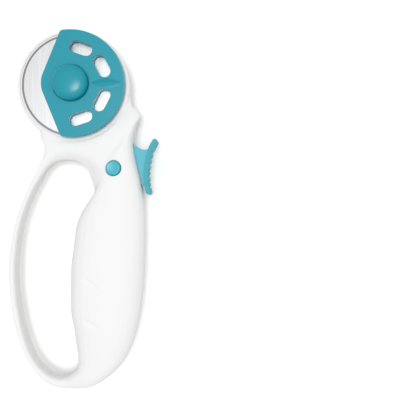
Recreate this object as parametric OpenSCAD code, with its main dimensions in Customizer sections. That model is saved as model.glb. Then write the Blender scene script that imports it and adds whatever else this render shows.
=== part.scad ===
// Rotary cutter with a finger loop: a thumb lever on the spine slides the blade out of its guard.
// Everything is drawn round the blade's axis, with the shells' parting plane at z = 0,
// and placed() then moves it so that the cutter rests on z = 0.

/* [Blade] */
// Diameter of the round blade
blade_d = 60; // [58:0.5:60]
// Thickness of the blade
blade_t = 0.4; // [0.3:0.05:0.4]
// Diameter of the hole in the blade
blade_hole_d = 8; // [8:0.05:8.1]
// How far the carriage slides the blade out
travel = 6.5; // [5:0.1:6.5]

/* [Handle] */
// Diameter of the guard disc round the blade
guard_d = 66; // [65:0.5:67]
// Thickness of the guard disc, both shells together
guard_t = 9.2; // [9:0.1:10]
// Depth of the recess that the blade lies over
recess_depth = 0.6; // [0.3:0.1:0.8]
// Thickness of the shells' walls
wall = 2.2; // [1.8:0.1:2.4]
// Scale of the grip's and the loop's depth
depth_scale = 1; // [0.95:0.01:1.1]

/* [Shield and nut] */
// Diameter of the blade shield
shield_d = 62; // [60:0.5:62]
// Thickness of the shield's plate
shield_t = 3; // [2.5:0.1:3.5]
// Gap between the blade and the shield's plate
shield_gap = 1.3; // [1:0.1:3]
// Diameter of the domed nut
nut_d = 20.8; // [19:0.1:21]
// Height of the nut's dome above the shield
nut_h = 5.6; // [5:0.1:6.5]

/* [Lever and lock] */
// Thickness of the lever's web
lever_t = 3; // [2.6:0.1:3.2]
// Width of the thumb pad, across the handle's depth
pad_w = 9; // [8:0.5:12]
// Thickness of the thumb pad
pad_t = 2.8; // [2.6:0.1:3.6]
// Diameter of the lock button
button_d = 8.6; // [8:0.1:8.8]
// How far the lock button travels
button_travel = 2; // [1.5:0.1:2]

/* [Hidden] */

white = "#f2f2f0";
teal = "#3aa6b6";
light_teal = "#5cc5d0";
dark_teal = "#2f97a5";
steel = "silver";
brass = "#c9a55a";
acetal = "#3c4043";

cut = 0.01;          // how far a cutting solid runs past the face it cuts
play = 0.15;         // sliding clearance between plastic parts
running = 0.05;      // radial clearance of a pin or hub in its bore

// Ribs across the handle, once round the finger loop. Each one is a section through the moulding:
// [loop-side x, y, outer x, y, half depth at the loop side, half depth outside, squareness].
ribs = [
    [-4.2, -43.4, -6, -16, 7, 3, 2.6],              // crown of the loop
    [1.7, -44.7, 10, -13, 7.4, 3, 2.6],
    [5.4, -47.1, 24, -8, 8, 3.4, 2.6],
    [7.6, -50, 32.1, -2.6, 8.4, 3.8, 2.6],          // side of the head
    [8.8, -52.7, 33.9, -10.4, 8.6, 4.4, 2.6],
    [9.8, -55, 36.3, -12.6, 8.9, 4.8, 2.6],
    [10.6, -57.2, 39.4, -16.8, 9.2, 5.2, 2.6],      // tip of the shoulder
    [11.3, -59.6, 37.4, -21.2, 9.5, 6.6, 2.6],
    [12.2, -62.4, 35.5, -28, 9.8, 8.4, 2.5],        // notch at the top of the finger edge
    [10.8, -66.4, 35.3, -36, 10.2, 9.4, 2.5],
    [7.6, -70.3, 37.2, -45.6, 10.6, 10.2, 2.4],
    [4.2, -75.3, 39.8, -56, 11, 11, 2.4],
    [1.1, -82.9, 41.2, -68, 11.6, 11.8, 2.4],       // corner where the fingers start
    [-0.4, -94.9, 41.8, -84, 12.2, 12.6, 2.4],
    [-2, -106.9, 41.7, -101, 12.6, 13, 2.4],
    [-2.1, -119.9, 41.1, -117, 12.6, 13, 2.4],      // belly of the grip
    [-2.1, -133.5, 39.4, -133, 12.2, 12.6, 2.4],
    [-0.2, -144, 36.8, -146, 11.6, 12, 2.4],
    [1.1, -153.5, 33.2, -156.6, 10.8, 11.2, 2.4],
    [2.3, -161.5, 28.1, -165.6, 9.8, 10.2, 2.5],
    [1.5, -167.2, 20.3, -172.9, 8.8, 9.2, 2.6],     // heel
    [-1.7, -170.6, 10.9, -178.3, 7.4, 7.4, 2.8],
    [-6, -172.9, -0.9, -179.5, 5.6, 5.6, 3],
    [-12.1, -172.5, -12.4, -178, 4.9, 4.9, 3.2],
    [-19.3, -167.7, -21.6, -171.4, 4.7, 4.7, 3.4],  // bottom of the loop's strip
    [-25.9, -158, -28.9, -160.1, 4.7, 4.7, 3.5],
    [-30.9, -142.6, -34.8, -143.8, 4.7, 4.7, 3.5],
    [-34.3, -122.1, -38.1, -122.4, 4.7, 4.7, 3.5],
    [-34.6, -103.9, -38.5, -103.7, 4.7, 4.7, 3.5],
    [-32.2, -85, -36, -85, 4.7, 4.7, 3.5],
    [-27.2, -69.1, -31.2, -69.5, 4.7, 4.7, 3.5],
    [-20.9, -56.2, -24.9, -55.6, 4.7, 4.7, 3.4],
    [-15.5, -47.6, -19.6, -44.4, 4.7, 4.7, 3.2],    // top of the loop's strip
    [-11.1, -44.7, -17.6, -36, 5.4, 4.9, 3],
    [-8.1, -43.8, -20.6, -25.6, 6.2, 4, 2.8],
];
steps_per_rib = 3;   // sections between one rib and the next
section_sides = 12;  // sides of a half section
hollow_ribs = [0, 21]; // first and last rib that the hollow reaches

// Levels of the blade's stack, up from the parting plane
guard_z = guard_t / 2;
floor_z = guard_z - recess_depth;
recess_r = guard_d / 2 - 1.6;
cavity_z = 2.4;                        // half depth of the space inside the head
seat_z = guard_z + 0.25;               // where the blade lies, just clear of the guard's rim
blade_top_z = seat_z + blade_t;
plate_z = blade_top_z + shield_gap;    // underside of the shield's plate
shield_top_z = plate_z + shield_t;
sink_depth = 0.9;                      // of the shield's dish round the nut
sink_z = shield_top_z - sink_depth;
washer_t = 0.4;
nut_z = sink_z + washer_t + 0.05;
nut_top_z = shield_top_z + nut_h;

// Carriage
carriage_t = 4.4;
carriage_w = 18.2;
carriage_x = [-13, 19];
shoulder_r = 6.5;
hub_r = blade_hole_d / 2 - running;
bolt_r = 2.5;
neck_side = 5;       // square neck that keeps the bolt from turning
head_r = 6.2;
head_t = 1.8;
backing_r = 13.6;    // wide enough to cover the slot that the carriage slides in

// Lever: it turns about pivot, and its drive pin moves the carriage
pivot = [34.4, -62.7];
drive = [28.5, -28];
pivot_r = 1.5;
hub_lever_r = 3.4;
hub_lever_z = 2;
drive_r = 1.5;
arm_t = 1.6;
press_angle = 11;
slot_drop = 1.8;     // how far the drive pin drops along the carriage's slot
slot_play = 0.12;
fork_r = 4.2;

// Lock
button = [24.6, -49.2];
lock_r = norm(button - pivot);
lock_angle = atan2(button[1] - pivot[1], button[0] - pivot[0]);
pin_r = 1.3;
pin_tip_r = 0.7;
eye_r = pin_r + 0.12;
button_top_z = 10.4;
flange_r = 5.2;
flange_t = 1.2;
guide_z = 2.3;
guide_t = 1.0;
guide_r = 5.5;
spring_solid = 0.7;  // height of the lock's spring when it is pressed flat
flange_z = guide_z + guide_t + spring_solid + button_travel;  // underside of the flange at rest
pin_rest_z = lever_t / 2 + 0.3;

// Lever's spring, between a wall in the shells and the lever's arm
spring_y = -38;
spring_x = [12.6, 26.2];
spring_r = 1.9;
wire_r = 0.3;

// Pegs that join the shells: [x, y, half length]
dowels = [
    [20, 19, 2.8], [-19, 19, 2.8], [-19, -17, 2.8], [21, -84, 6], [19, -112, 6], [18, -140, 6],
    [10, -166, 5],
];
dowel_r = 1.25;
post_r = 3;

// The cutter rests on its rear side, with the middle of its outline over the origin
rest_shift = [-5.356, 73.25, 12.844 * depth_scale];

// ---- Curves ----

function wrapped(list, i) = list[(i + len(list)) % len(list)];

// Point on the smooth closed curve through a list, a fraction f of the way from item i to the next
function on_curve(list, i, f) =
    let (a = wrapped(list, i - 1), b = list[i], c = wrapped(list, i + 1), d = wrapped(list, i + 2))
    (2 * b + (c - a) * f + (2 * a - 5 * b + 4 * c - d) * f * f + (3 * b - a - 3 * c + d) * f * f * f) / 2;

function closed_curve(list, steps) =
    [for (i = [0 : len(list) - 1], s = [0 : steps - 1]) on_curve(list, i, s / steps)];

// The same through an open list, from its first point to its last
function open_curve(list, steps) =
    let (ends = concat([2 * list[0] - list[1]], list, [2 * list[len(list) - 1] - list[len(list) - 2]]))
    [for (i = [1 : len(list) - 1], s = [0 : steps - 1]) on_curve(ends, i, s / steps),
     list[len(list) - 1]];

// Band of a given half width along a line of points
function band(line, half) =
    let (last = len(line) - 1,
         side = [for (i = [0 : last])
             let (t = line[min(i + 1, last)] - line[max(i - 1, 0)]) [-t[1], t[0]] * half / norm(t)])
    concat([for (i = [0 : last]) line[i] + side[i]], [for (i = [last : -1 : 0]) line[i] - side[i]]);

function signed_power(v, p) = sign(v) * pow(abs(v), p);

// Point of a rib's section at an angle round it, moved inwards by inset
function section_point(rib, angle, inset) =
    let (p = [rib[0], rib[1]], q = [rib[2], rib[3]], along = (q - p) / norm(q - p),
         c = (1 - signed_power(cos(angle), 2 / rib[6])) / 2,
         reach = norm(q - p) - 2 * inset,
         half = depth_scale * (rib[4] + (rib[5] - rib[4]) * c) - inset,
         spot = p + along * (inset + reach * c))
    [spot[0], spot[1], half * signed_power(sin(angle), 2 / rib[6])];

// Closed ring of sections as faces: rings of n points each, joined to the next and the last to the first
function ring_faces(rings, n) =
    [for (i = [0 : rings - 1], j = [0 : n - 1])
        let (k = (i + 1) % rings, m = (j + 1) % n)
        [i * n + j, i * n + m, k * n + m, k * n + j]];

// Open chain of sections as faces, with its first and last ring closed
function chain_faces(rings, n) =
    concat(
        [for (i = [0 : rings - 2], j = [0 : n - 1])
            let (m = (j + 1) % n)
            [i * n + j, i * n + m, (i + 1) * n + m, (i + 1) * n + j]],
        [[for (j = [n - 1 : -1 : 0]) j], [for (j = [0 : n - 1]) (rings - 1) * n + j]]
    );

// Tube along an open line of points, with capped ends
function tube_ring(line, i, r, n) =
    let (last = len(line) - 1, t = line[min(i + 1, last)] - line[max(i - 1, 0)], u = t / norm(t),
         side = cross(u, [0.01, 0.02, 1]), a = side / norm(side), b = cross(u, a))
    [for (j = [0 : n - 1]) line[i] + r * (a * cos(360 * j / n) + b * sin(360 * j / n))];

module tube(line, r, n = 6) {
    last = len(line) - 1;
    points = [for (i = [0 : last]) each tube_ring(line, i, r, n)];
    sides = [for (i = [0 : last - 1], j = [0 : n - 1])
        let (m = (j + 1) % n, a = i * n + m, b = i * n + j, c = b + n, d = a + n)
        each [[a, b, c], [a, c, d]]];
    first_cap = [for (j = [0 : n - 1]) j];
    last_cap = [for (j = [n - 1 : -1 : 0]) last * n + j];
    polyhedron(points, concat(sides, [first_cap, last_cap]));
}

// Compression spring standing on z = 0, with its wire inside the given height
module coil(r, wire, height, turns) {
    steps = 12;
    line = [for (i = [0 : turns * steps])
        let (a = 360 * i / steps)
        [r * cos(a), r * sin(a), wire * 1.1 + (height - wire * 2.2) * i / (turns * steps)]];
    tube(line, wire);
}

// ---- Handle ----

sections = closed_curve(ribs, steps_per_rib);

// Solid of the front half of the grip, neck and loop, inset from the surface
module handle_form(inset) {
    n = section_sides + 1;
    points = [for (s = sections, j = [0 : n - 1]) section_point(s, j * 180 / section_sides, inset)];
    polyhedron(points, ring_faces(len(sections), n), convexity = 8);
}

// Hollow of the neck and the grip: the loop's thin strip is left solid
module grip_hollow() {
    n = 2 * section_sides;
    run = [for (i = [hollow_ribs[0] * steps_per_rib : hollow_ribs[1] * steps_per_rib]) sections[i]];
    points = [for (s = run, j = [0 : n - 1]) section_point(s, j * 360 / n, wall)];
    polyhedron(points, chain_faces(len(run), n), convexity = 8);
}

// Outline of the handle at the parting plane
module outline() {
    circle(d = guard_d, $fn = 96);
    difference() {
        polygon([for (s = sections) [s[2], s[3]]]);
        polygon([for (s = sections) [s[0], s[1]]]);
    }
}

// Path that a disc of this radius sweeps as the carriage slides
module swept_disc(r) {
    circle(r, $fn = 96);
    translate([-travel, 0])
        circle(r, $fn = 96);
    translate([-travel, -r])
        square([travel, 2 * r]);
}

module guard_disc() {
    edge = 0.8;
    rotate_extrude($fn = 96)
        polygon(concat(
            [[0, 0], [guard_d / 2, 0]],
            [for (a = [0 : 22.5 : 90]) [guard_d / 2 - edge + edge * cos(a), guard_z - edge + edge * sin(a)]],
            [[0, guard_z]]
        ));
}

module cavity() {
    grip_hollow();
    linear_extrude(2 * cavity_z, center = true)
        offset(delta = -wall)
            outline();
}

// Slot in the spine that the lever's web comes out of
module spine_slot() {
    slot_y = [-59.8, -33.9];
    slot_z = lever_t / 2 + 0.3;
    translate([30, slot_y[0], -slot_z])
        cube([14, slot_y[1] - slot_y[0], 2 * slot_z]);
}

// Rails that guide the carriage, short enough to stay clear of its arm
module rails() {
    rail = 1.6;
    length = 20;
    for (side = [-1, 1])
        translate([-19, side * (carriage_w / 2 + play + rail / 2) - rail / 2, 0])
            cube([length, rail, guard_z - 1]);
}

module post(at, r, z) {
    translate([at[0], at[1], z])
        cylinder(r = r, h = 30, $fn = 32);
}

// Posts, rails and walls inside a shell, cut to its outer form
module inner_works(with_lock) {
    intersection() {
        union() {
            rails();
            for (d = dowels)
                post(d, post_r, 0);
            post(pivot, 3.4, hub_lever_z + 0.15);
            translate([spring_x[0] - 2.4, spring_y - 3.2, 0])
                cube([2.4, 6.4, 30]);
            if (with_lock)
                post(button, flange_r + 1.8, guide_z);
            else
                post(button, 3, lever_t / 2 + 0.7);
        }
        union() {
            handle_form(0.8);
            cylinder(d = guard_d - 2, h = floor_z - 0.6, $fn = 96);
        }
    }
}

// A shell's moulding, before its bores: one mesh
module moulding(with_lock) {
    resize([0, 0, 0]) {
        difference() {
            union() {
                handle_form(0);
                guard_disc();
            }
            cavity();
            translate([0, 0, guard_z])
                linear_extrude(20)
                    swept_disc(guard_d / 2 + 0.2);
            translate([0, 0, floor_z])
                cylinder(r = recess_r, h = 20, $fn = 96);
            spine_slot();
        }
        inner_works(with_lock);
    }
}

// Slot that the carriage's shoulder slides in
module carriage_slot() {
    r = shoulder_r + play;
    cylinder(r = r, h = 20, $fn = 64);
    translate([-travel, 0, 0])
        cylinder(r = r, h = 20, $fn = 64);
    translate([-travel, -r, 0])
        cube([travel, 2 * r, 20]);
}

module shell_bores() {
    carriage_slot();
    for (d = dowels)
        translate([d[0], d[1], -1])
            cylinder(r = dowel_r, h = d[2] + 1.1, $fn = 32);
    translate([pivot[0], pivot[1], 0])
        cylinder(r = pivot_r, h = 7.1, $fn = 32);
}

module front_shell() {
    color(white)
        difference() {
            moulding(true);
            shell_bores();
            translate([button[0], button[1], 0]) {
                cylinder(r = guide_r, h = flange_z + flange_t, $fn = 64);
                cylinder(r = button_d / 2 + play, h = 20, $fn = 64);
            }
        }
}

module rear_shell() {
    color(white)
        mirror([0, 0, 1])
            difference() {
                moulding(false);
                shell_bores();
                translate([button[0], button[1], 0])
                    cylinder(r = pin_tip_r + play, h = 6.5, $fn = 32);
            }
}

module shell_dowels() {
    color(steel)
        for (d = dowels)
            translate([d[0], d[1], -d[2]])
                cylinder(r = dowel_r, h = 2 * d[2], $fn = 32);
}

// ---- Blade carriage and its stack ----

module carriage_plate() {
    linear_extrude(carriage_t, center = true) {
        translate([carriage_x[0], -carriage_w / 2])
            square([carriage_x[1] - carriage_x[0], carriage_w]);
        polygon([[8, -8], [19, -2], drive + [3.6, 3.4], drive + [-3.6, 2.4]]);
    }
}

module fork() {
    linear_extrude(carriage_t, center = true)
        union() {
            translate(drive)
                circle(fork_r, $fn = 48);
            translate(drive - [0, slot_drop])
                circle(fork_r, $fn = 48);
            translate(drive - [fork_r, slot_drop])
                square([2 * fork_r, slot_drop]);
        }
}

// Space between the fork's cheeks for the lever's arm
module fork_gap() {
    gap = arm_t / 2 + play;
    translate([drive[0] - 12, drive[1] - 12, -gap])
        cube([24, 12 + fork_r + 1.2, 2 * gap]);
}

module drive_slot() {
    r = drive_r + slot_play;
    translate([drive[0], drive[1] + 0.2, -5])
        cylinder(r = r, h = 10, $fn = 32);
    translate([drive[0], drive[1] - slot_drop - 0.1, -5])
        cylinder(r = r, h = 10, $fn = 32);
    translate([drive[0] - r, drive[1] - slot_drop - 0.1, -5])
        cube([2 * r, slot_drop + 0.3, 10]);
}

module blade_carriage() {
    color(acetal)
        difference() {
            union() {
                carriage_plate();
                fork();
                translate([0, 0, -seat_z])
                    cylinder(r = shoulder_r, h = 2 * seat_z, $fn = 64);
                translate([0, 0, -blade_top_z])
                    cylinder(r = hub_r, h = 2 * blade_top_z, $fn = 64);
            }
            translate([0, 0, -20])
                cylinder(r = bolt_r + running, h = 40, $fn = 48);
            translate([-neck_side / 2, -neck_side / 2, -20])
                cube([neck_side, neck_side, 20 - 1]);
            fork_gap();
            drive_slot();
        }
}

module blade_bolt() {
    back_z = blade_top_z + head_t;
    color(steel)
        difference() {
            union() {
                translate([0, 0, -back_z])
                    cylinder(r = head_r, h = head_t, $fn = 64);
                translate([-neck_side / 2 + running, -neck_side / 2 + running, -blade_top_z - cut])
                    cube([neck_side - 2 * running, neck_side - 2 * running, blade_top_z - 1]);
                translate([0, 0, -blade_top_z])
                    cylinder(r = bolt_r, h = blade_top_z + nut_top_z - 2.2, $fn = 48);
            }
            translate([-head_r, -0.6, -back_z - cut])
                cube([2 * head_r, 1.2, 0.8]);
        }
}

module ring(outer, inner, h) {
    difference() {
        cylinder(r = outer, h = h, $fn = 64);
        translate([0, 0, -1])
            cylinder(r = inner, h = h + 2, $fn = 64);
    }
}

module backing_washer() {
    color(steel)
        translate([0, 0, -blade_top_z])
            ring(backing_r, hub_r + running, blade_t);
}

module blade() {
    bevel = 1.2;
    edge_t = 0.06;
    mid = blade_t / 2;
    r = blade_d / 2;
    color(steel)
        translate([0, 0, seat_z])
            rotate_extrude($fn = 128)
                polygon([
                    [hub_r + running, 0], [r - bevel, 0], [r, mid - edge_t / 2], [r, mid + edge_t / 2],
                    [r - bevel, blade_t], [hub_r + running, blade_t],
                ]);
}

// Outline of the shield: a disc with two straight flanks that meet in a round nose
module shield_outline() {
    nose_x = -17.2;
    nose_r = 12.5;
    flank = 22;
    touch = [nose_x + nose_r * (1 - cos(flank)), nose_r * sin(flank)];
    top = 40;
    top_x = touch[0] + (top - touch[1]) * tan(flank);
    offset(r = 2, $fn = 32)
        offset(delta = -2)
            intersection() {
                circle(d = shield_d, $fn = 96);
                union() {
                    translate([nose_x + nose_r, 0])
                        circle(nose_r, $fn = 96);
                    polygon([
                        [touch[0], -touch[1]], [touch[0], touch[1]], [top_x, top],
                        [top, top], [top, -top], [top_x, -top],
                    ]);
                }
            }
}

// One of the slots, which lie round a centre a little towards the nose from the blade's
module shield_slot(angle) {
    centre_x = -0.9;
    length = 13.8;
    width = 7.2;
    run = length - width;
    translate([centre_x, 0, 0]) rotate(angle)
        translate([21.3, 0, 0]) {
            for (side = [-1, 1])
                translate([0, side * run / 2, 0])
                    cylinder(d = width, h = 30, $fn = 48);
            translate([-width / 2, -run / 2, 0])
                cube([width, run, 30]);
        }
}

// Pointed oval ridge that the thumb pushes on
module thumb_ridge() {
    half_length = 8.7;
    half_width = 3;
    height = 1.4;
    r = (half_length * half_length + half_width * half_width) / (2 * half_width);
    translate([20.7, 0, shield_top_z - 0.5])
        intersection() {
            translate([0, r - half_width, 0])
                cylinder(r = r, h = height + 0.5, $fn = 96);
            translate([0, half_width - r, 0])
                cylinder(r = r, h = height + 0.5, $fn = 96);
        }
}

module blade_shield() {
    hub = 9;
    color(teal)
        difference() {
            union() {
                translate([0, 0, plate_z])
                    linear_extrude(shield_t)
                        shield_outline();
                translate([0, 0, blade_top_z + running])
                    cylinder(r = hub, h = shield_gap + 1, $fn = 64);
                thumb_ridge();
            }
            cylinder(r = bolt_r + 0.3, h = 30, $fn = 48);
            translate([0, 0, sink_z])
                cylinder(r = nut_d / 2 + 0.4, h = 30, $fn = 64);
            for (angle = [-71.5, -27.5, 27.5, 71.5])
                shield_slot(angle);
        }
}

module wave_washer() {
    color(steel)
        translate([0, 0, sink_z])
            ring(7, bolt_r + 0.3, washer_t);
}

module nut_insert() {
    color(brass)
        translate([0, 0, nut_z])
            difference() {
                cylinder(r = 4.4, h = nut_top_z - nut_z - 1.6, $fn = 6);
                translate([0, 0, -1])
                    cylinder(r = bolt_r + running, h = 30, $fn = 48);
            }
}

module nut_cap() {
    r = nut_d / 2;
    skirt = shield_top_z + 0.8 - nut_z;
    rise = nut_top_z - nut_z - skirt;
    steps = 8;
    color(teal)
        translate([0, 0, nut_z])
            difference() {
                rotate_extrude($fn = 96)
                    polygon(concat(
                        [[0, 0], [r, 0]],
                        [for (i = [0 : steps])
                            let (a = 90 * i / steps) [r * pow(cos(a), 0.8), skirt + rise * sin(a)]]
                    ));
                translate([0, 0, -cut])
                    cylinder(r = 4.4, h = nut_top_z - nut_z - 1.6 + cut, $fn = 6);
            }
}

// ---- Lever ----

pad_line = open_curve(
    [[48.0, -32.7], [45.5, -37.4], [43.7, -44.6], [42.9, -51.5], [43.3, -58.5], [44.2, -62.9]], 5
);

module pad_form(height) {
    translate([0, 0, -height / 2]) {
        linear_extrude(height)
            polygon(band(pad_line, pad_t / 2));
        for (end = [pad_line[0], pad_line[len(pad_line) - 1]])
            translate([end[0], end[1], 0])
                cylinder(d = pad_t, h = height, $fn = 32);
    }
}

module thumb_pad() {
    first = 6;
    last = 23;
    color(dark_teal)
        difference() {
            pad_form(pad_w);
            for (i = [first : 2.5 : last])
                let (a = pad_line[floor(i)], b = pad_line[floor(i) + 1], p = a + (b - a) * (i - floor(i)),
                     t = (b - a) / norm(b - a))
                translate([p[0] - t[1] * (pad_t / 2 + 0.5), p[1] + t[0] * (pad_t / 2 + 0.5), -pad_w])
                    cylinder(r = 1.1, h = 2 * pad_w, $fn = 24);
        }
}

// The web outside the spine, and the plate that carries the lock's slot
module lever_outline() {
    web_top = open_curve(
        [[29.0, -35.6], [35.2, -35.0], [38.2, -36.4], [41.0, -37.5], [43.0, -37.3], [44.9, -36.2]], 4
    );
    polygon(concat(web_top, [
        [45, -44], [43.2, -52], [43.4, -57], [41.0, -58.4], [38.2, -59.0], [36.8, -61.0], pivot, [31, -61],
        [27.2, -55.5], [20.4, -51.2], [20.4, -46.4], [24.6, -43.2],
    ]));
}

module lever_arm() {
    linear_extrude(arm_t, center = true) {
        translate(drive)
            circle(3.1, $fn = 48);
        polygon([drive + [-3.1, 0], drive + [3.1, 0], [32.6, -38], [26.6, -38]]);
    }
}

// Slot for the lock pin: a narrow arc about the pivot with a round eye at each end
module lock_slot() {
    eye_z = lever_t;
    translate([pivot[0], pivot[1], -eye_z]) {
        for (a = [lock_angle, lock_angle - press_angle])
            rotate(a)
                translate([lock_r, 0, 0])
                    cylinder(r = eye_r, h = 2 * eye_z, $fn = 32);
        rotate(lock_angle - press_angle)
            rotate_extrude(angle = press_angle, $fn = 96)
                translate([lock_r - pin_tip_r - play, 0])
                    square([2 * (pin_tip_r + play), 2 * eye_z]);
    }
}

module thumb_lever() {
    color(light_teal)
        difference() {
            union() {
                difference() {
                    linear_extrude(lever_t, center = true)
                        lever_outline();
                    pad_form(2 * lever_t);
                }
                lever_arm();
                translate([pivot[0], pivot[1], -hub_lever_z])
                    cylinder(r = hub_lever_r, h = 2 * hub_lever_z, $fn = 64);
            }
            translate([pivot[0], pivot[1], -5])
                cylinder(r = pivot_r + running, h = 10, $fn = 48);
            translate([drive[0], drive[1], -5])
                cylinder(r = drive_r, h = 10, $fn = 48);
            lock_slot();
        }
}

module lever_pivot_pin() {
    color(steel)
        translate([pivot[0], pivot[1], -7])
            cylinder(r = pivot_r, h = 14, $fn = 48);
}

module drive_pin() {
    half = carriage_t / 2;
    color(steel)
        translate([drive[0], drive[1], -half])
            cylinder(r = drive_r, h = 2 * half, $fn = 48);
}

module lever_spring() {
    color(steel)
        translate([spring_x[0], spring_y, 0])
            rotate([0, 90, 0])
                coil(spring_r, wire_r, spring_x[1] - spring_x[0], 7);
}

// ---- Lock ----

module lock_button() {
    cap_r = button_d / 2;
    rim = 0.7;
    color(teal)
        translate([button[0], button[1], flange_z])
            difference() {
                union() {
                    cylinder(r = flange_r, h = flange_t, $fn = 64);
                    cylinder(r = cap_r, h = button_top_z - flange_z - rim, $fn = 64);
                    translate([0, 0, button_top_z - flange_z - rim - cut])
                        cylinder(r1 = cap_r, r2 = cap_r - rim, h = rim + cut, $fn = 64);
                }
                translate([0, 0, -1])
                    cylinder(r = pin_r, h = 3, $fn = 32);
            }
}

module lock_pin() {
    color(steel)
        translate([button[0], button[1], 0]) {
            translate([0, 0, pin_rest_z])
                cylinder(r = pin_r, h = flange_z + 2 - pin_rest_z, $fn = 32);
            translate([0, 0, -3.4])
                cylinder(r = pin_tip_r, h = 3.4 + pin_rest_z + cut, $fn = 32);
        }
}

module lock_spring() {
    color(steel)
        translate([button[0], button[1], guide_z + guide_t])
            coil(3.2, 0.2, flange_z - guide_z - guide_t, 2);
}

module lock_guide() {
    color(acetal)
        translate([button[0], button[1], guide_z])
            ring(guide_r, pin_r + running, guide_t);
}

module placed() {
    translate(rest_shift)
        children();
}

placed() front_shell();
placed() rear_shell();
placed() shell_dowels();
placed() blade_carriage();
placed() blade_bolt();
placed() backing_washer();
placed() blade();
placed() blade_shield();
placed() wave_washer();
placed() nut_cap();
placed() nut_insert();
placed() thumb_lever();
placed() thumb_pad();
placed() lever_pivot_pin();
placed() drive_pin();
placed() lever_spring();
placed() lock_button();
placed() lock_pin();
placed() lock_spring();
placed() lock_guide();
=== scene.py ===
"""A rotary cutter with a finger loop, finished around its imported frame."""

import math

import bmesh
import bpy
from mathutils import Matrix, Vector


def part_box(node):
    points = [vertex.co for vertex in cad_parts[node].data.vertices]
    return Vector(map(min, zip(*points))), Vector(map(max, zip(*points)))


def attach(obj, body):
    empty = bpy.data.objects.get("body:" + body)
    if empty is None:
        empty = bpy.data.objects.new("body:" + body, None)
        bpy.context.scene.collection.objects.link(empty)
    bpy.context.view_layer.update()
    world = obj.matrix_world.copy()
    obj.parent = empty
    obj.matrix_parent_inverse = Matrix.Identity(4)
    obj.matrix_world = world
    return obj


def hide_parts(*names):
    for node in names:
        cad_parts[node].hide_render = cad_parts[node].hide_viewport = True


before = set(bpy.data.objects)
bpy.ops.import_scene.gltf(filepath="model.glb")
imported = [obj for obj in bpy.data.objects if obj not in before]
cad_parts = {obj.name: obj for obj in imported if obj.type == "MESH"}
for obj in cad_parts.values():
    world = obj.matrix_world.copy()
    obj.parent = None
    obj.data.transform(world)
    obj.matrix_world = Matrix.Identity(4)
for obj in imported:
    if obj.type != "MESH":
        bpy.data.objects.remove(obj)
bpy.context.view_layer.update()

bl_info = {
    "name": "Rotary cutter",
    "version": (1, 0, 0),
    "blender": (4, 5, 0),
    "location": "3D View > Sidebar > Cutter",
    "description": "Builds a loop-handled rotary cutter around its fixed frame",
    "category": "Object",
}

MM = 0.001

# Places that every piece is worked out from, in the frame's metres
BLADE_LOW, BLADE_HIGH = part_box("blade")
AXIS = Vector(((BLADE_LOW.x + BLADE_HIGH.x) / 2, (BLADE_LOW.y + BLADE_HIGH.y) / 2, 0))
BLADE_R = (BLADE_HIGH.x - BLADE_LOW.x) / 2
PARTING_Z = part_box("rear_shell")[1].z
GUARD_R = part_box("front_shell")[1].y - AXIS.y
BLADE_CLEARANCE = 0.25 * MM
GUARD_TOP = BLADE_LOW.z - PARTING_Z - BLADE_CLEARANCE
SHIELD_LOW, SHIELD_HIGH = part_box("blade_shield")
NUT_LOW, NUT_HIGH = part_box("nut_cap")
BUTTON_LOW, BUTTON_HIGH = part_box("lock_button")
BUTTON = (BUTTON_LOW + BUTTON_HIGH) / 2
PIVOT = sum(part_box("lever_pivot_pin"), Vector()) / 2


# ---- Settings ----

class CutterSizes(bpy.types.PropertyGroup):
    """Sizes of the finish, which the frame leaves open"""

    skin: bpy.props.FloatProperty(
        name="Skin step", description="Spacing of the points on the moulded handle",
        default=0.62 * MM, min=0.5 * MM, max=2 * MM, unit="LENGTH",
    )
    wall: bpy.props.FloatProperty(
        name="Wall", description="Thickness of the handle's shells",
        default=1.3 * MM, min=1 * MM, max=1.6 * MM, unit="LENGTH",
    )
    edge: bpy.props.FloatProperty(
        name="Edge radius", description="Rounding of the moulded edges",
        default=0.4 * MM, min=0.1 * MM, max=0.6 * MM, unit="LENGTH",
    )
    seam: bpy.props.FloatProperty(
        name="Seam", description="Gap between the two shells where they meet",
        default=0.12 * MM, min=0.0, max=0.3 * MM, unit="LENGTH",
    )


class CutterColours(bpy.types.PropertyGroup):
    """Colours of the finish, as sRGB hex values"""

    shell: bpy.props.StringProperty(
        name="Shell", description="Colour of the handle", default="#F3F3F2",
    )
    shield: bpy.props.StringProperty(
        name="Shield", description="Colour of the shield and the nut", default="#058FA0",
    )
    web: bpy.props.StringProperty(
        name="Lever", description="Colour of the lever's web and the button", default="#38A9BA",
    )
    # The pad's teal is darker than the web's as painted shade: the pad is seen edge-on, with its
    # side faces turned from the light
    pad: bpy.props.StringProperty(
        name="Thumb pad", description="Colour of the lever's ribbed pad", default="#2C9EAC",
    )


# ---- Materials ----

def linear(hex_colour):
    """An sRGB hex value as a linear colour"""
    channels = [int(hex_colour[i:i + 2], 16) / 255 for i in (1, 3, 5)]
    return [c / 12.92 if c <= 0.04045 else ((c + 0.055) / 1.055) ** 2.4 for c in channels] + [1.0]


def add_node(tree, kind, settings=None, links=None, **properties):
    """A node with its properties, the values of its inputs, and what its inputs are linked to"""
    node = tree.nodes.new(kind)
    for name, value in properties.items():
        setattr(node, name, value)
    for name, value in (settings or {}).items():
        node.inputs[name].default_value = value
    for name, source in (links or {}).items():
        tree.links.new(source, node.inputs[name])
    return node


def new_material(name):
    """An empty material, with its tree and its surface shader"""
    material = bpy.data.materials.new(name)
    material.use_nodes = True
    tree = material.node_tree
    tree.nodes.clear()
    shader = add_node(tree, "ShaderNodeBsdfPrincipled")
    add_node(tree, "ShaderNodeOutputMaterial", links={"Surface": shader.outputs["BSDF"]})
    return material, tree, shader


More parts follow.
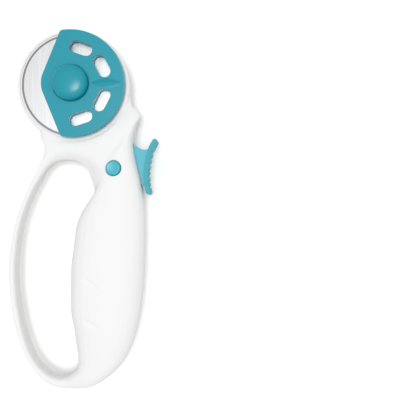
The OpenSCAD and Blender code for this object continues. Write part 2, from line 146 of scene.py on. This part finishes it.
def mottled(tree, coordinates, colour, spread, size):
    """A colour that wanders a little from place to place, as pigment does in a moulding"""
    noise = add_node(tree, "ShaderNodeTexNoise", {"Scale": 1 / size, "Detail": 3.0},
                     {"Vector": coordinates})
    dark = [c * (1 - spread) for c in colour[:3]] + [1.0]
    light = [min(c * (1 + spread), 1) for c in colour[:3]] + [1.0]
    return add_node(tree, "ShaderNodeMix", {6: dark, 7: light}, {0: noise.outputs["Fac"]},
                    data_type="RGBA").outputs[2]


def moulded_plastic(name, colour, roughness, ior, texture_height):
    """Injection-moulded thermoplastic: a soft gloss over a fine spark-eroded texture"""
    material, tree, shader = new_material(name)
    at = add_node(tree, "ShaderNodeTexCoord").outputs["Object"]
    pigment_patch = 9 * MM
    tree.links.new(mottled(tree, at, colour, 0.025, pigment_patch), shader.inputs["Base Color"])
    # The tool's erosion pits are about 0.05 mm apart; they are drawn at 0.35 mm so that they show
    pit = 0.35 * MM
    pits = add_node(tree, "ShaderNodeTexNoise", {"Scale": 1 / pit, "Detail": 2.0}, {"Vector": at})
    gloss = add_node(tree, "ShaderNodeMapRange",
                     {"To Min": roughness - 0.05, "To Max": roughness + 0.05},
                     {"Value": pits.outputs["Fac"]})
    tree.links.new(gloss.outputs["Result"], shader.inputs["Roughness"])
    bump = add_node(tree, "ShaderNodeBump", {"Strength": 0.25, "Distance": texture_height},
                    {"Height": pits.outputs["Fac"]})
    tree.links.new(bump.outputs["Normal"], shader.inputs["Normal"])
    shader.inputs["IOR"].default_value = ior
    return material


def moulded_white_abs(look):
    """White moulded ABS: opaque and bright, with a broad satin highlight"""
    material = moulded_plastic("moulded_white_abs", linear(look.shell), 0.42, 1.53, 0.01 * MM)
    shader = material.node_tree.nodes["Principled BSDF"]
    shader.inputs["Coat Weight"].default_value = 0.15
    shader.inputs["Coat Roughness"].default_value = 0.25
    return material


def moulded_teal_abs(name, colour, roughness=0.36):
    """Teal moulded ABS: saturated, with a satin highlight"""
    return moulded_plastic(name, colour, roughness, 1.53, 0.01 * MM)


def moulded_teal_tpe(name, colour):
    """Teal thermoplastic elastomer: a grippy skin, less glossy than the hard plastic beside it"""
    return moulded_plastic(name, colour, 0.55, 1.50, 0.03 * MM)


def moulded_acetal():
    """Charcoal acetal: a waxy self-lubricating plastic for sliding parts"""
    return moulded_plastic("moulded_acetal", linear("#3A3E42"), 0.4, 1.48, 0.005 * MM)


def worked_metal(name, colour, roughness, grain, stretch, depth):
    """Metal with a directional grain: stretch squeezes the pattern along the tool's path"""
    material, tree, shader = new_material(name)
    at = add_node(tree, "ShaderNodeTexCoord").outputs["Object"]
    along = add_node(tree, "ShaderNodeMapping", {"Scale": stretch}, {"Vector": at})
    lines = add_node(tree, "ShaderNodeTexNoise", {"Scale": 1 / grain, "Detail": 4.0},
                     {"Vector": along.outputs["Vector"]})
    dark = [c * 0.8 for c in colour[:3]] + [1.0]
    tint = add_node(tree, "ShaderNodeMix", {6: dark, 7: colour},
                    {0: lines.outputs["Fac"]}, data_type="RGBA")
    tree.links.new(tint.outputs[2], shader.inputs["Base Color"])
    gloss = add_node(tree, "ShaderNodeMapRange",
                     {"To Min": roughness - 0.08, "To Max": roughness + 0.08},
                     {"Value": lines.outputs["Fac"]})
    tree.links.new(gloss.outputs["Result"], shader.inputs["Roughness"])
    bump = add_node(tree, "ShaderNodeBump", {"Strength": 0.3, "Distance": depth},
                    {"Height": lines.outputs["Fac"]})
    tree.links.new(bump.outputs["Normal"], shader.inputs["Normal"])
    shader.inputs["Metallic"].default_value = 1.0
    return material


def brushed_blade_steel():
    """Tool steel brushed along the handle: pale, with fine bright streaks"""
    streak = 0.8 * MM
    return worked_metal("brushed_blade_steel", linear("#F0F2F3"), 0.4, streak, (1, 0.03, 1),
                        0.004 * MM)


def ground_edge_steel():
    """The blade's ground bevel: steeper than its faces, with its own fine grinding; its darker grey
    is painted shade, standing for the dark reflection that the steep bevel shows
    """
    grit = 0.25 * MM
    # The darker grey here is painted shade for the bevel's dark reflection, not a darker steel
    return worked_metal("ground_edge_steel", linear("#A6A9AD"), 0.3, grit, (1, 1, 1), 0.003 * MM)


def turned_steel():
    """Machined steel: neutral grey, with fine tool marks"""
    mark = 0.3 * MM
    return worked_metal("turned_steel", linear("#B9BBBD"), 0.32, mark, (1, 1, 0.2), 0.004 * MM)


def drawn_spring_steel():
    """Drawn spring wire: a smooth dark grey"""
    mark = 0.3 * MM
    return worked_metal("drawn_spring_steel", linear("#8E9092"), 0.28, mark, (1, 1, 1), 0.002 * MM)


def turned_brass():
    """Turned brass: warm yellow, with fine tool marks"""
    mark = 0.3 * MM
    return worked_metal("turned_brass", linear("#C9A55A"), 0.3, mark, (1, 1, 0.2), 0.004 * MM)


# ---- Modelling helpers ----

def finished(name, bm, body, materials, nodes=(), sharp=32):
    """Turns a bmesh into a piece that rides on a body and stands for its CAD nodes"""
    bmesh.ops.remove_doubles(bm, verts=bm.verts, dist=0.001 * MM)
    bmesh.ops.recalc_face_normals(bm, faces=bm.faces)
    mesh = bpy.data.meshes.new(name)
    bm.to_mesh(mesh)
    bm.free()
    return finished_mesh(name, mesh, body, materials, nodes, sharp)


def finished_mesh(name, mesh, body, materials, nodes=(), sharp=32):
    """The same for a mesh that is already whole"""
    mesh.shade_smooth()
    mesh.set_sharp_from_angle(angle=math.radians(sharp))
    mesh = with_modifiers(mesh, ("WEIGHTED_NORMAL", {"keep_sharp": True}))
    mesh.name = name
    for material in materials:
        mesh.materials.append(material)
    piece = bpy.data.objects.new(name, mesh)
    bpy.context.scene.collection.objects.link(piece)
    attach(piece, body)
    if nodes:
        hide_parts(*nodes)
    return piece


def dress(node, material):
    """Gives a CAD node that keeps its shape its material"""
    node_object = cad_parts[node]
    node_object.data.materials.clear()
    node_object.data.materials.append(material)


def spun(profile, centre, steps=96):
    """A solid of revolution about the vertical line through centre, from (radius, height) points"""
    bm = bmesh.new()
    chain = [bm.verts.new((centre.x + r, centre.y, z)) for r, z in profile]
    edges = [bm.edges.new(pair) for pair in zip(chain, chain[1:])]
    bmesh.ops.spin(bm, geom=chain + edges, cent=(centre.x, centre.y, 0), axis=(0, 0, 1),
                   angle=math.tau, steps=steps, use_merge=True, use_duplicate=False)
    bmesh.ops.remove_doubles(bm, verts=bm.verts, dist=0.001 * MM)
    return bm


def cylinder(centre, r, low, high, segments=64):
    """A plain closed cylinder as a bmesh, used to plug or cut"""
    bm = bmesh.new()
    bmesh.ops.create_cone(bm, cap_ends=True, segments=segments, radius1=r, radius2=r,
                          depth=high - low,
                          matrix=Matrix.Translation((centre.x, centre.y, (low + high) / 2)))
    return bm


def prism(outline, low, high):
    """A flat outline of (x, y) points raised from one height to another"""
    bm = bmesh.new()
    base = bm.faces.new([bm.verts.new((x, y, low)) for x, y in outline])
    made = bmesh.ops.extrude_face_region(bm, geom=[base])["geom"]
    bmesh.ops.translate(bm, vec=(0, 0, high - low),
                        verts=[g for g in made if isinstance(g, bmesh.types.BMVert)])
    bmesh.ops.recalc_face_normals(bm, faces=bm.faces)
    return bm


def mesh_of(bm):
    """Closes a bmesh into a mesh"""
    mesh = bpy.data.meshes.new("form")
    bm.to_mesh(mesh)
    bm.free()
    return mesh


def with_modifiers(mesh, *modifiers):
    """The mesh that a chain of (kind, settings) modifiers makes of a mesh"""
    holder = bpy.data.objects.new("holder", mesh)
    bpy.context.scene.collection.objects.link(holder)
    for kind, settings in modifiers:
        modifier = holder.modifiers.new(kind, kind)
        for key, value in settings.items():
            setattr(modifier, key, value)
    graph = bpy.context.evaluated_depsgraph_get()
    made = bpy.data.meshes.new_from_object(holder.evaluated_get(graph))
    bpy.data.objects.remove(holder)
    return made


def cut(mesh, cutters):
    """A mesh with each cutter's shape taken out of it in turn"""
    for cutter in cutters:
        tool = bpy.data.objects.new("tool", cutter)
        bpy.context.scene.collection.objects.link(tool)
        mesh = with_modifiers(mesh, ("BOOLEAN", {"object": tool, "operation": "DIFFERENCE",
                                                 "solver": "MANIFOLD"}))
        bpy.data.objects.remove(tool)
    return mesh


def joined(*parts):
    """One bmesh that holds several"""
    whole = bmesh.new()
    for part in parts:
        whole.from_mesh(mesh_of(part))
    return whole


def merged_copy(node):
    """A CAD node's mesh with its loose triangles joined and its flat faces made whole"""
    bm = bmesh.new()
    bm.from_mesh(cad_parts[node].data)
    bmesh.ops.remove_doubles(bm, verts=bm.verts, dist=0.002 * MM)
    return bm


def eased_copy(node, width, segments=3, angle=35):
    """A CAD node's shape with its sharp edges rounded"""
    bm = merged_copy(node)
    bmesh.ops.dissolve_limit(bm, angle_limit=math.radians(1), verts=bm.verts, edges=bm.edges)
    return with_modifiers(mesh_of(bm), ("BEVEL", {
        "width": width, "segments": segments, "limit_method": "ANGLE",
        "angle_limit": math.radians(angle), "profile": 0.5,
    }))


# ---- Handle ----

def spine_points(inset):
    """Inner side of the spine wall along the lever's slot, inset from its outer face"""
    spine = [(35.3, -32.5), (35.9, -40), (37.5, -47), (39.4, -54), (40.5, -61)]
    return [(AXIS.x + (x - inset) * MM, AXIS.y + y * MM) for x, y in spine]


def moulded_form(skin):
    """Outer form of the whole handle as one soft skin: both shells with their openings plugged"""
    guard_half = 4.6 * MM
    guard_plug_r = GUARD_R - 1.3 * MM
    spine_half = 3 * MM
    spine_inner, spine_outer = 3.4, 1.2
    button_plug_r = 5.4 * MM
    pin_plug_r = 2 * MM
    smoothing_passes = 5
    spine = spine_points(spine_inner) + spine_points(spine_outer)[::-1]
    form = joined(
        merged_copy("front_shell"),
        merged_copy("rear_shell"),
        cylinder(AXIS, guard_plug_r, PARTING_Z - guard_half, PARTING_Z + guard_half, 128),
        prism(spine, PARTING_Z - spine_half, PARTING_Z + spine_half),
        cylinder(BUTTON, button_plug_r, PARTING_Z + 4 * MM, PARTING_Z + 8.3 * MM),
        cylinder(BUTTON, pin_plug_r, PARTING_Z - 8 * MM, PARTING_Z - 2 * MM),
    )
    mesh = with_modifiers(mesh_of(form), ("REMESH", {
        "mode": "VOXEL", "voxel_size": skin, "adaptivity": 0.0,
    }))
    bm = bmesh.new()
    bm.from_mesh(mesh)
    keep_outer_skin(bm)
    for _ in range(smoothing_passes):
        bmesh.ops.smooth_vert(bm, verts=bm.verts, factor=0.5, use_axis_x=True, use_axis_y=True,
                              use_axis_z=True)
    press_details(bm)
    return bm


def press_details(bm):
    """Presses the arch over the loop, the finger creases and the dish round the button"""
    creases = (((7.8, -112.8), (17.0, -118.8)), ((7.0, -136.8), (17.8, -141.9)))
    crease_depth = 0.8 * MM
    crease_width = 1.4 * MM
    dish_depth = 0.5 * MM
    dish_r = 8.5 * MM
    arch = Vector((AXIS.x - 2.8 * MM, AXIS.y - 59.2 * MM))
    arch_r = 15.2 * MM
    arch_slope = 7.5 * MM
    arch_fall = 0.62
    seam_band = 3 * MM
    for vert in bm.verts:
        height = vert.co.z - PARTING_Z
        # Over the loop the neck falls away in a broad round towards the opening
        from_arch = ((vert.co.xy - arch).length - arch_r) / arch_slope
        up = (vert.co.y - arch.y) / arch_r
        if from_arch < 1 and up > 0:
            fall = (1 - max(from_arch, 0)) ** 2 * min(up * 1.6, 1) ** 2
            height *= 1 - arch_fall * fall
            vert.co.z = PARTING_Z + height
        if abs(height) < seam_band:
            continue
        side = math.copysign(1, height)
        for (ax, ay), (bx, by) in creases:
            start = Vector((AXIS.x + ax * MM, AXIS.y + ay * MM))
            along = Vector((bx - ax, by - ay)) * MM
            reach = vert.co.xy - start
            f = min(max(reach.dot(along) / along.length_squared, 0), 1)
            off = (reach - along * f).length / crease_width
            fade = math.sin(math.pi * min(max(f, 0.02), 0.98))
            vert.co.z -= side * crease_depth * fade * math.exp(-off * off)
        from_button = (vert.co.xy - BUTTON.xy).length / dish_r
        if side > 0 and from_button < 1:
            vert.co.z -= dish_depth * (1 - from_button ** 2) ** 2


def keep_outer_skin(bm):
    """Leaves only the connected skin that reaches furthest out"""
    left = set(bm.verts)
    skins = []
    while left:
        stack = [left.pop()]
        skin = list(stack)
        while stack:
            for edge in stack.pop().link_edges:
                for vert in edge.verts:
                    if vert in left:
                        left.remove(vert)
                        stack.append(vert)
                        skin.append(vert)
        skins.append(skin)
    skins.sort(key=len)
    bmesh.ops.delete(bm, geom=[v for skin in skins[:-1] for v in skin], context="VERTS")


def half_shell(form, side, sizes):
    """One half of the form with its wall thickness; side is 1 for the front and -1 for the rear"""
    bm = form.copy()
    seam_z = PARTING_Z + side * sizes.seam / 2
    bmesh.ops.bisect_plane(bm, geom=bm.verts[:] + bm.edges[:] + bm.faces[:], dist=0.001 * MM,
                           plane_co=(0, 0, seam_z), plane_no=(0, 0, -side), clear_outer=True)
    bmesh.ops.recalc_face_normals(bm, faces=bm.faces)
    return with_modifiers(mesh_of(bm), ("SOLIDIFY", {
        "thickness": sizes.wall, "offset": -1.0, "use_rim": True, "use_even_offset": False,
    }))


def stadium(r, steps):
    """Outline that a disc of this radius sweeps as the carriage slides"""
    travel = 6.5 * MM
    turns = [math.pi * i / steps for i in range(steps + 1)]
    return ([(AXIS.x + r * math.sin(a), AXIS.y + r * math.cos(a)) for a in turns]
            + [(AXIS.x - travel - r * math.sin(a), AXIS.y - r * math.cos(a)) for a in turns])


def shell_cutters(side):
    """What is cut from a shell: the blade's recess, the carriage's slot and the lever's slot"""
    recess_r = GUARD_R - 1.6 * MM
    floor = 4.0 * MM
    far = 30 * MM
    slot_r = 6.65 * MM
    button_r = 4.7 * MM
    web_half = 1.8 * MM

    def levels(a, b):
        return sorted((PARTING_Z + side * a, PARTING_Z + side * b))

    slot = stadium(slot_r, 24)
    web = PARTING_Z - web_half, PARTING_Z + web_half
    web_slot = [(AXIS.x + x * MM, AXIS.y + y * MM)
                for x, y in [(30, -59.8), (46, -59.8), (46, -33.9), (30, -33.9)]]
    swept = stadium(GUARD_R + 0.2 * MM, 64)
    cutters = [
        cylinder(AXIS, recess_r, *levels(floor, far), 160),
        prism(swept, *levels(GUARD_TOP, far)),
        prism(slot, *levels(1 * MM, 10 * MM)),
        prism(web_slot, *web),
    ]
    if side > 0:
        cutters.append(cylinder(BUTTON, button_r, *levels(2 * MM, far)))
    return [mesh_of(cutter) for cutter in cutters]


class CUTTER_OT_handle(bpy.types.Operator):
    """Moulds the front and rear shells of the handle"""

    bl_idname = "cutter.handle"
    bl_label = "Handle shells"

    def execute(self, context):
        sizes = context.scene.cutter_sizes
        plastic = moulded_white_abs(context.scene.cutter_colours)
        form = moulded_form(sizes.skin)
        for name, side in (("front_shell", 1), ("rear_shell", -1)):
            shell = cut(half_shell(form, side, sizes), shell_cutters(side))
            if not shell.polygons:
                raise RuntimeError(name + " came out empty")
            finished_mesh("handle_" + name, shell, "handle", [plastic], [name])
        form.free()
        return {"FINISHED"}


# ---- Blade ----

class CUTTER_OT_blade(bpy.types.Operator):
    """Makes the round blade with its ground bevel"""

    bl_idname = "cutter.blade"
    bl_label = "Blade"

    def execute(self, context):
        low, high = BLADE_LOW.z, BLADE_HIGH.z
        middle = (low + high) / 2
        bevel = 1.2 * MM
        edge = 0.03 * MM
        hole = 4.0 * MM
        profile = [(hole, low), (BLADE_R - bevel, low), (BLADE_R, middle - edge),
                   (BLADE_R, middle + edge), (BLADE_R - bevel, high), (hole, high), (hole, low)]
        bm = spun(profile, AXIS, 160)
        # Faces on the bevel take the darker steel: painted shade, standing for the dark reflection
        # of the steep bevel
        for face in bm.faces:
            centre = face.calc_center_median() - AXIS
            if Vector((centre.x, centre.y)).length > BLADE_R - bevel:
                face.material_index = 1
        finished("blade_disc", bm, "blade_disc", [brushed_blade_steel(), ground_edge_steel()],
                 ["blade"], sharp=3)
        return {"FINISHED"}


# ---- Shield ----

def shield_plate():
    """Flat plate of the shield: a disc with two straight flanks that meet in a round nose"""
    radius = (SHIELD_HIGH.y - SHIELD_LOW.y) / 2
    flank = math.radians(22)
    nose = AXIS.x - 18.2 * MM
    bm = bmesh.new()
    bmesh.ops.create_circle(bm, cap_ends=True, segments=144, radius=radius,
                            matrix=Matrix.Translation((AXIS.x, AXIS.y, 0)))
    for side in (1, -1):
        bmesh.ops.bisect_plane(bm, geom=bm.verts[:] + bm.edges[:] + bm.faces[:],
                               dist=0.001 * MM, plane_co=(nose, AXIS.y, 0),
                               plane_no=(-math.cos(flank), side * math.sin(flank), 0),
                               clear_outer=True)
    for verts, offset, segments in ((nose_verts(bm), 5.2 * MM, 12), (flank_ends(bm), 1.5 * MM, 6)):
        bmesh.ops.bevel(bm, geom=verts, offset=offset, segments=segments, profile=0.5,
                        affect="VERTICES", material=-1)
    return bm


def nose_verts(bm):
    """The point where the shield's two flanks meet"""
    return [min(bm.verts, key=lambda v: v.co.x)]


def flank_ends(bm):
    """The two points where a flank meets the shield's round"""
    def turn(vert):
        a, b = [e.other_vert(vert).co - vert.co for e in vert.link_edges]
        return math.pi - a.angle(b)
    return sorted((v for v in bm.verts if v.co.x > AXIS.x - 8 * MM), key=turn)[-2:]


def shield_cutters():
    """The four round-ended slots of the shield, and the dish round the nut"""
    ring_r = 21.3 * MM
    centre_x = AXIS.x - 0.9 * MM
    half_run = 3.3 * MM
    r = 3.6 * MM
    parts = [cylinder(AXIS, 10.9 * MM, SHIELD_HIGH.z - 3.2 * MM, SHIELD_HIGH.z + 5 * MM, 96)]
    for degrees in (-71.5, -27.5, 27.5, 71.5):
        arc = [math.pi * i / 16 for i in range(17)]
        outline = [(ring_r + r * math.cos(a), half_run + r * math.sin(a)) for a in arc]
        outline += [(ring_r - r * math.cos(a), -half_run - r * math.sin(a)) for a in arc]
        slot = prism(outline, SHIELD_LOW.z - 1 * MM, SHIELD_HIGH.z + 5 * MM)
        bmesh.ops.rotate(slot, verts=slot.verts, cent=(0, 0, 0),
                         matrix=Matrix.Rotation(math.radians(degrees), 3, "Z"))
        bmesh.ops.translate(slot, verts=slot.verts, vec=(centre_x, AXIS.y, 0))
        parts.append(slot)
    return [mesh_of(part) for part in parts]


def thumb_ridge(top):
    """Pointed oval ridge on the shield, highest along its middle line and closed underneath"""
    half_length = 8.8 * MM
    half_width = 3.0 * MM
    height = 1.35 * MM
    root = 0.5 * MM
    sharpness = 1.3
    bm = bmesh.new()
    bmesh.ops.create_grid(bm, x_segments=40, y_segments=20, size=1)
    for vert in bm.verts:
        along, across = vert.co.xy
        taper = max(1 - along ** 2, 0)
        rise = max(1 - abs(across), 0) ** sharpness
        vert.co = along * half_length, across * half_width * taper, height * rise * taper
    bmesh.ops.remove_doubles(bm, verts=bm.verts, dist=0.001 * MM)
    made = bmesh.ops.extrude_face_region(bm, geom=bm.faces[:])["geom"]
    bmesh.ops.translate(bm, vec=(0, 0, root),
                        verts=[g for g in made if isinstance(g, bmesh.types.BMVert)])
    bmesh.ops.recalc_face_normals(bm, faces=bm.faces)
    bmesh.ops.translate(bm, verts=bm.verts, vec=(AXIS.x + 20.7 * MM, AXIS.y, top - root))
    return bm


class CUTTER_OT_shield(bpy.types.Operator):
    """Makes the teal blade shield"""

    bl_idname = "cutter.shield"
    bl_label = "Blade shield"

    def execute(self, context):
        sizes = context.scene.cutter_sizes
        top = SHIELD_HIGH.z - 1.4 * MM
        thickness = 3 * MM
        plate = shield_plate()
        bmesh.ops.translate(plate, verts=plate.verts, vec=(0, 0, top - thickness))
        made = bmesh.ops.extrude_face_region(plate, geom=plate.faces[:])["geom"]
        bmesh.ops.translate(plate, vec=(0, 0, thickness),
                            verts=[g for g in made if isinstance(g, bmesh.types.BMVert)])
        bmesh.ops.recalc_face_normals(plate, faces=plate.faces)
        mesh = cut(mesh_of(plate), shield_cutters())
        mesh = with_modifiers(mesh, ("BEVEL", {
            "width": sizes.edge, "segments": 3, "limit_method": "ANGLE",
            "angle_limit": math.radians(50),
        }))
        bm = bmesh.new()
        bm.from_mesh(mesh)
        ridge = thumb_ridge(top)
        bm.from_mesh(mesh_of(ridge))
        bore, boss, seat = 2.8 * MM, 9 * MM, 11.4 * MM
        under, over = top - 2.8 * MM, top - 0.9 * MM
        hub = spun([(bore, SHIELD_LOW.z), (boss, SHIELD_LOW.z), (boss, under), (seat, under),
                    (seat, over), (bore, over), (bore, SHIELD_LOW.z)], AXIS, 96)
        bm.from_mesh(mesh_of(hub))
        teal = moulded_teal_abs("moulded_teal_abs", linear(context.scene.cutter_colours.shield))
        finished("shield", bm, "carriage", [teal], ["blade_shield"])
        return {"FINISHED"}


# ---- Nut, button, bolt and washer ----

class CUTTER_OT_nut(bpy.types.Operator):
    """Makes the domed nut"""

    bl_idname = "cutter.nut"
    bl_label = "Domed nut"

    def execute(self, context):
        r = (NUT_HIGH.x - NUT_LOW.x) / 2
        low, high = NUT_LOW.z, NUT_HIGH.z
        skirt = low + 1.7 * MM
        core = 4.4 * MM
        dome = [(r * math.cos(a) ** 0.8, skirt + (high - skirt) * math.sin(a))
                for a in [math.pi / 2 * i / 20 for i in range(20)]]
        profile = [(core, low), (r - 0.4 * MM, low), (r, low + 0.4 * MM)] + dome
        profile += [(0, high), (0, high - 1.8 * MM), (core, high - 1.8 * MM), (core, low)]
        colour = linear(context.scene.cutter_colours.shield)
        teal = moulded_teal_abs("moulded_teal_gloss_abs", colour, 0.3)
        finished("nut_dome", spun(profile, AXIS), "nut", [teal], ["nut_cap"])
        return {"FINISHED"}


class CUTTER_OT_button(bpy.types.Operator):
    """Makes the lock button"""

    bl_idname = "cutter.button"
    bl_label = "Lock button"

    def execute(self, context):
        r = 4.3 * MM
        flange_r = (BUTTON_HIGH.x - BUTTON_LOW.x) / 2
        low, high = BUTTON_LOW.z, BUTTON_HIGH.z
        rim = 1.1 * MM
        dish = 0.25 * MM
        profile = [(1.3 * MM, low), (flange_r, low), (flange_r, low + 1.2 * MM),
                   (r, low + 1.2 * MM), (r, high - rim)]
        profile += [(r - rim + rim * math.cos(a), high - rim + rim * math.sin(a))
                    for a in [math.pi / 2 * i / 6 for i in range(1, 7)]]
        profile += [(r - rim - 0.5 * MM, high - dish * 0.6), (r - rim - 1.2 * MM, high - dish),
                    (0, high - dish), (0, low + 2 * MM), (1.3 * MM, low + 2 * MM), (1.3 * MM, low)]
        colour = linear(context.scene.cutter_colours.web)
        teal = moulded_teal_abs("moulded_teal_button_abs", colour, 0.34)
        finished("button", spun(profile, BUTTON, 64), "lock", [teal],
                 ["lock_button"])
        return {"FINISHED"}


class CUTTER_OT_bolt(bpy.types.Operator):
    """Rounds the bolt and the washer behind the blade's carriage"""

    bl_idname = "cutter.bolt"
    bl_label = "Bolt and washer"

    def execute(self, context):
        steel = turned_steel()
        finished_mesh("bolt", eased_copy("blade_bolt", 0.25 * MM), "carriage", [steel],
                      ["blade_bolt"])
        low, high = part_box("backing_washer")
        r = (high.x - low.x) / 2
        hole = 4.0 * MM
        ease = 0.12 * MM
        profile = [(hole, low.z), (r - ease, low.z), (r, low.z + ease), (r, high.z - ease),
                   (r - ease, high.z), (hole, high.z), (hole, low.z)]
        finished("washer", spun(profile, AXIS, 128), "carriage", [steel],
                 ["backing_washer"])
        return {"FINISHED"}


# ---- Lever ----

class CUTTER_OT_lever(bpy.types.Operator):
    """Makes the thumb lever and its ribbed pad"""

    bl_idname = "cutter.lever"
    bl_label = "Thumb lever"

    def execute(self, context):
        look = context.scene.cutter_colours
        web = moulded_teal_abs("moulded_light_teal_abs", linear(look.web))
        # The pad's darker teal is painted shade for its edge-on faces
        pad = moulded_teal_tpe("moulded_teal_tpe", linear(look.pad))
        finished_mesh("lever_web", eased_copy("thumb_lever", 0.35 * MM), "lever", [web],
                      ["thumb_lever"])
        finished_mesh("lever_pad", eased_copy("thumb_pad", 0.4 * MM), "lever", [pad],
                      ["thumb_pad"])
        return {"FINISHED"}


# ---- Works inside ----

class CUTTER_OT_works(bpy.types.Operator):
    """Gives the pieces inside the cutter their finishes"""

    bl_idname = "cutter.works"
    bl_label = "Inner works"

    def execute(self, context):
        finishes = {
            moulded_acetal(): ("blade_carriage", "lock_guide"),
            turned_steel(): ("shell_dowels", "lever_pivot_pin", "drive_pin", "lock_pin"),
            drawn_spring_steel(): ("wave_washer", "lever_spring", "lock_spring"),
            turned_brass(): ("nut_insert",),
        }
        for material, nodes in finishes.items():
            for node in nodes:
                dress(node, material)
        return {"FINISHED"}


# ---- Stage ----

def matt_floor():
    """Matt white paper: bright and even, with no gloss of its own"""
    material, tree, shader = new_material("matt_white_paper")
    at = add_node(tree, "ShaderNodeTexCoord").outputs["Object"]
    fibre_patch = 30 * MM
    paper = mottled(tree, at, linear("#FCFCFB"), 0.004, fibre_patch)
    tree.links.new(paper, shader.inputs["Base Color"])
    shader.inputs["Roughness"].default_value = 0.9
    shader.inputs["Specular IOR Level"].default_value = 0.1
    return material


def soft_light(name, place, aim, size, power):
    """A square softbox that faces a point"""
    light = bpy.data.lights.new(name, "AREA")
    light.shape = "SQUARE"
    light.size = size
    light.energy = power
    lamp = bpy.data.objects.new(name, light)
    lamp.location = place
    lamp.rotation_euler = (Vector(aim) - Vector(place)).to_track_quat("-Z", "Y").to_euler()
    bpy.context.scene.collection.objects.link(lamp)


class CUTTER_OT_stage(bpy.types.Operator):
    """Sets the floor, the lights and the camera"""

    bl_idname = "cutter.stage"
    bl_label = "Stage"

    def execute(self, context):
        scene = context.scene
        bm = bmesh.new()
        bmesh.ops.create_grid(bm, x_segments=1, y_segments=1, size=2.0)
        floor = bpy.data.objects.new("floor", mesh_of(bm))
        floor.data.materials.append(matt_floor())
        scene.collection.objects.link(floor)

        world = bpy.data.worlds.new("studio")
        world.use_nodes = True
        # The room is bright overhead and dimmer at the horizon, as under a large diffuser
        tree = world.node_tree
        background = tree.nodes["Background"]
        background.inputs["Color"].default_value = linear("#FFFFFF")
        towards = add_node(tree, "ShaderNodeTexCoord").outputs["Generated"]
        up = add_node(tree, "ShaderNodeSeparateXYZ", links={"Vector": towards}).outputs["Z"]
        horizon, overhead = 0.34, 0.86
        grade = add_node(tree, "ShaderNodeMapRange", {"To Min": horizon, "To Max": overhead},
                         {"Value": up})
        tree.links.new(grade.outputs["Result"], background.inputs["Strength"])
        scene.world = world

        # The camera looks straight down, from beyond the handle's right side
        width_per_distance = 1.04
        camera_data = bpy.data.cameras.new("camera")
        camera_data.lens = camera_data.sensor_width / width_per_distance
        camera = bpy.data.objects.new("camera", camera_data)
        camera.location = (AXIS.x + 79.5 * MM, AXIS.y - 72.3 * MM, PARTING_Z + 240.5 * MM)
        scene.collection.objects.link(camera)
        scene.camera = camera

        middle = Vector((0, 0, 0))
        soft_light("key", (0.1, 0, 0.9), middle, 0.4, 4.1)
        scene.view_settings.view_transform = "Standard"
        return {"FINISHED"}


# ---- Panel and registration ----

OPERATORS = (
    CUTTER_OT_handle, CUTTER_OT_blade, CUTTER_OT_shield, CUTTER_OT_nut, CUTTER_OT_button,
    CUTTER_OT_bolt, CUTTER_OT_lever, CUTTER_OT_works, CUTTER_OT_stage,
)


class CUTTER_PT_panel(bpy.types.Panel):
    """Lists the cutter's sizes, colours and operators"""

    bl_idname = "CUTTER_PT_panel"
    bl_label = "Rotary cutter"
    bl_space_type = "VIEW_3D"
    bl_region_type = "UI"
    bl_category = "Cutter"

    def draw(self, context):
        for group in (context.scene.cutter_sizes, context.scene.cutter_colours):
            for name in group.__annotations__:
                self.layout.prop(group, name)
        for operator in OPERATORS:
            self.layout.operator(operator.bl_idname)


CLASSES = (CutterSizes, CutterColours, *OPERATORS, CUTTER_PT_panel)


def register():
    for each in CLASSES:
        bpy.utils.register_class(each)
    bpy.types.Scene.cutter_sizes = bpy.props.PointerProperty(type=CutterSizes)
    bpy.types.Scene.cutter_colours = bpy.props.PointerProperty(type=CutterColours)


def unregister():
    del bpy.types.Scene.cutter_colours
    del bpy.types.Scene.cutter_sizes
    for each in reversed(CLASSES):
        bpy.utils.unregister_class(each)


def main():
    """Builds every piece in order"""
    register()
    for operator in OPERATORS:
        group, name = operator.bl_idname.split(".")
        getattr(getattr(bpy.ops, group), name)()


if __name__ == "__main__":
    main()
